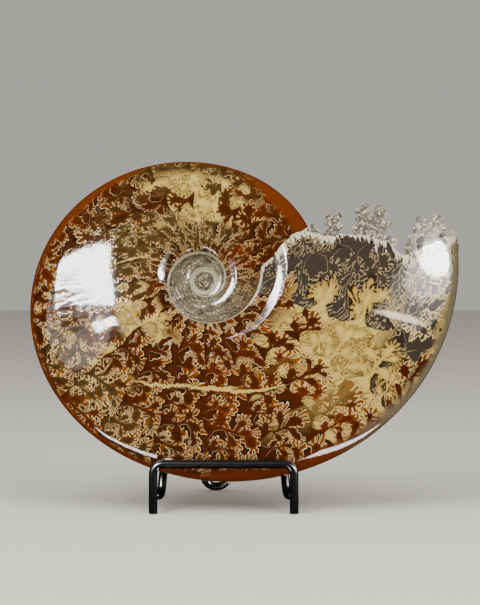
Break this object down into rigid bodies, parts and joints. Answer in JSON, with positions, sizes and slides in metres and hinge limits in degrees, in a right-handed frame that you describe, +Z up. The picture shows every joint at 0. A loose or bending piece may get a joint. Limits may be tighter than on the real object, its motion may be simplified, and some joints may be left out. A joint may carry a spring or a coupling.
{
  "type": "polished ammonite fossil on a wire stand",
  "caption": "Polished coiled ammonite with free-standing suture lobes at its opening, leaning in a black bent-wire easel stand.",
  "frame": {"origin": "on the floor under the middle of the whole part, shell and stand together", "axes": "+Z up; +X to the right as seen from the front, towards the shell's opening; +Y to the back, away from the viewer"},
  "size_m": [0.1996, 0.0878, 0.1609],
  "materials": {
    "fossil": "high polish; brown, cream and grey suture pattern over calcite",
    "stand": "gloss black paint on round iron rod"
  },
  "bodies": {
    "root": {"ammonite": "fossil", "stand_front_frame": "stand", "stand_left_support": "stand", "stand_right_support": "stand", "stand_crossbar": "stand", "stand_rear_leg": "stand"}
  },
  "joints": []
}
